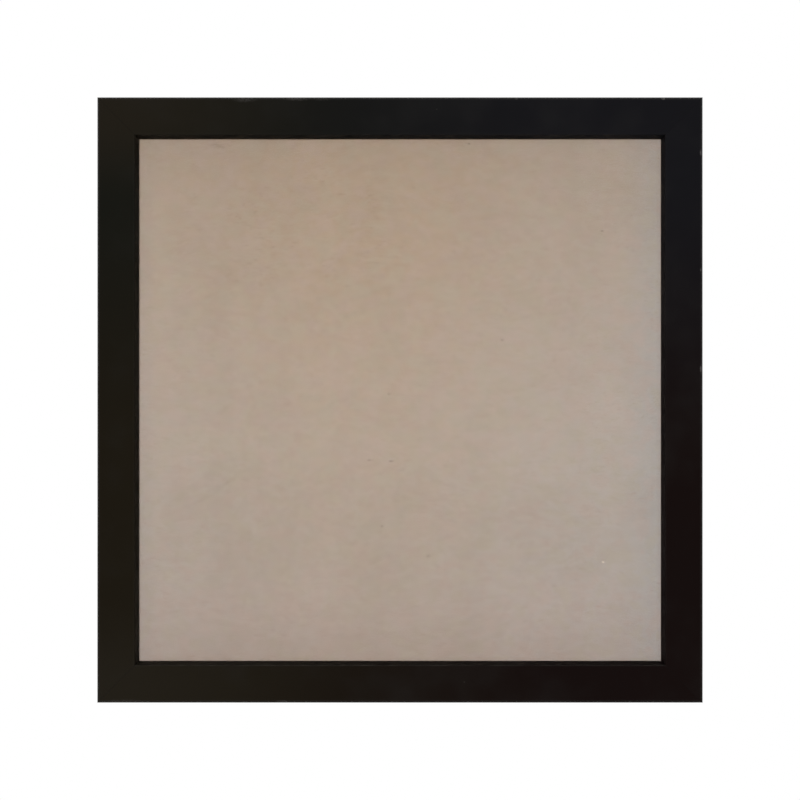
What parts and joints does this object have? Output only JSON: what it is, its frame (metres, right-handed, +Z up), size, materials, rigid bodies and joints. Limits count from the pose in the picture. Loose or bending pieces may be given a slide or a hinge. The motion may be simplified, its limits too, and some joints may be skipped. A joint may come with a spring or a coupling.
{
  "type": "square photo frame",
  "caption": "Square wall photo frame: black mitred moulding, clear pane and fibreboard back held by turn buttons, hung on a sawtooth hanger.",
  "frame": {"origin": "in the plane of the wall, at the top of the middle notch of the sawtooth hanger, where a nail bears", "axes": "+Y out of the back, into the wall; the picture faces -Y; +X to the right of someone who looks at the picture; +Z up"},
  "size_m": [0.332, 0.0171, 0.332],
  "materials": {
    "black_moulding": "satin black lacquer on wood fibre, pale where the arrises are chipped",
    "clear_glass": "clear float glass with faint wipe marks",
    "fibreboard": "bare pale brown fibreboard with short dark fibres",
    "steel": "bare strip steel",
    "button_steel": "nickel-plated pressed steel",
    "screw_steel": "bright zinc-plated steel",
    "hanger_steel": "zinc-plated pressed steel",
    "brass_pin": "brass-plated pin",
    "bumper_rubber": "matt black rubber"
  },
  "bodies": {
    "frame": {"top_rail": "black_moulding", "right_rail": "black_moulding", "bottom_rail": "black_moulding", "left_rail": "black_moulding", "top_left_v_nails": "steel", "top_right_v_nails": "steel", "bottom_left_v_nails": "steel", "bottom_right_v_nails": "steel", "glass_pane": "clear_glass", "backing_board": "fibreboard", "turn_button_screws": "screw_steel", "sawtooth_hanger": "hanger_steel", "hanger_pins": "brass_pin", "left_wall_bumper": "bumper_rubber", "right_wall_bumper": "bumper_rubber"},
    "top_left_button": {"top_left_turn_button": "button_steel"},
    "top_right_button": {"top_right_turn_button": "button_steel"},
    "right_upper_button": {"right_upper_turn_button": "button_steel"},
    "right_lower_button": {"right_lower_turn_button": "button_steel"},
    "bottom_right_button": {"bottom_right_turn_button": "button_steel"},
    "bottom_left_button": {"bottom_left_turn_button": "button_steel"},
    "left_lower_button": {"left_lower_turn_button": "button_steel"},
    "left_upper_button": {"left_upper_turn_button": "button_steel"}
  },
  "joints": [
    {"name": "top_left_pivot", "type": "hinge", "parent": "frame", "child": "top_left_button", "pos_m": [-0.0747, -0.003, 0.003], "axis": [0, 1, 0], "continuous": true},
    {"name": "top_right_pivot", "type": "hinge", "parent": "frame", "child": "top_right_button", "pos_m": [0.0747, -0.003, 0.003], "axis": [0, 1, 0], "continuous": true},
    {"name": "right_upper_pivot", "type": "hinge", "parent": "frame", "child": "right_upper_button", "pos_m": [0.1585, -0.003, -0.0808], "axis": [0, 1, 0], "continuous": true},
    {"name": "right_lower_pivot", "type": "hinge", "parent": "frame", "child": "right_lower_button", "pos_m": [0.1585, -0.003, -0.2302], "axis": [0, 1, 0], "continuous": true},
    {"name": "bottom_right_pivot", "type": "hinge", "parent": "frame", "child": "bottom_right_button", "pos_m": [0.0747, -0.003, -0.314], "axis": [0, 1, 0], "continuous": true},
    {"name": "bottom_left_pivot", "type": "hinge", "parent": "frame", "child": "bottom_left_button", "pos_m": [-0.0747, -0.003, -0.314], "axis": [0, 1, 0], "continuous": true},
    {"name": "left_lower_pivot", "type": "hinge", "parent": "frame", "child": "left_lower_button", "pos_m": [-0.1585, -0.003, -0.2302], "axis": [0, 1, 0], "continuous": true},
    {"name": "left_upper_pivot", "type": "hinge", "parent": "frame", "child": "left_upper_button", "pos_m": [-0.1585, -0.003, -0.0808], "axis": [0, 1, 0], "continuous": true}
  ]
}
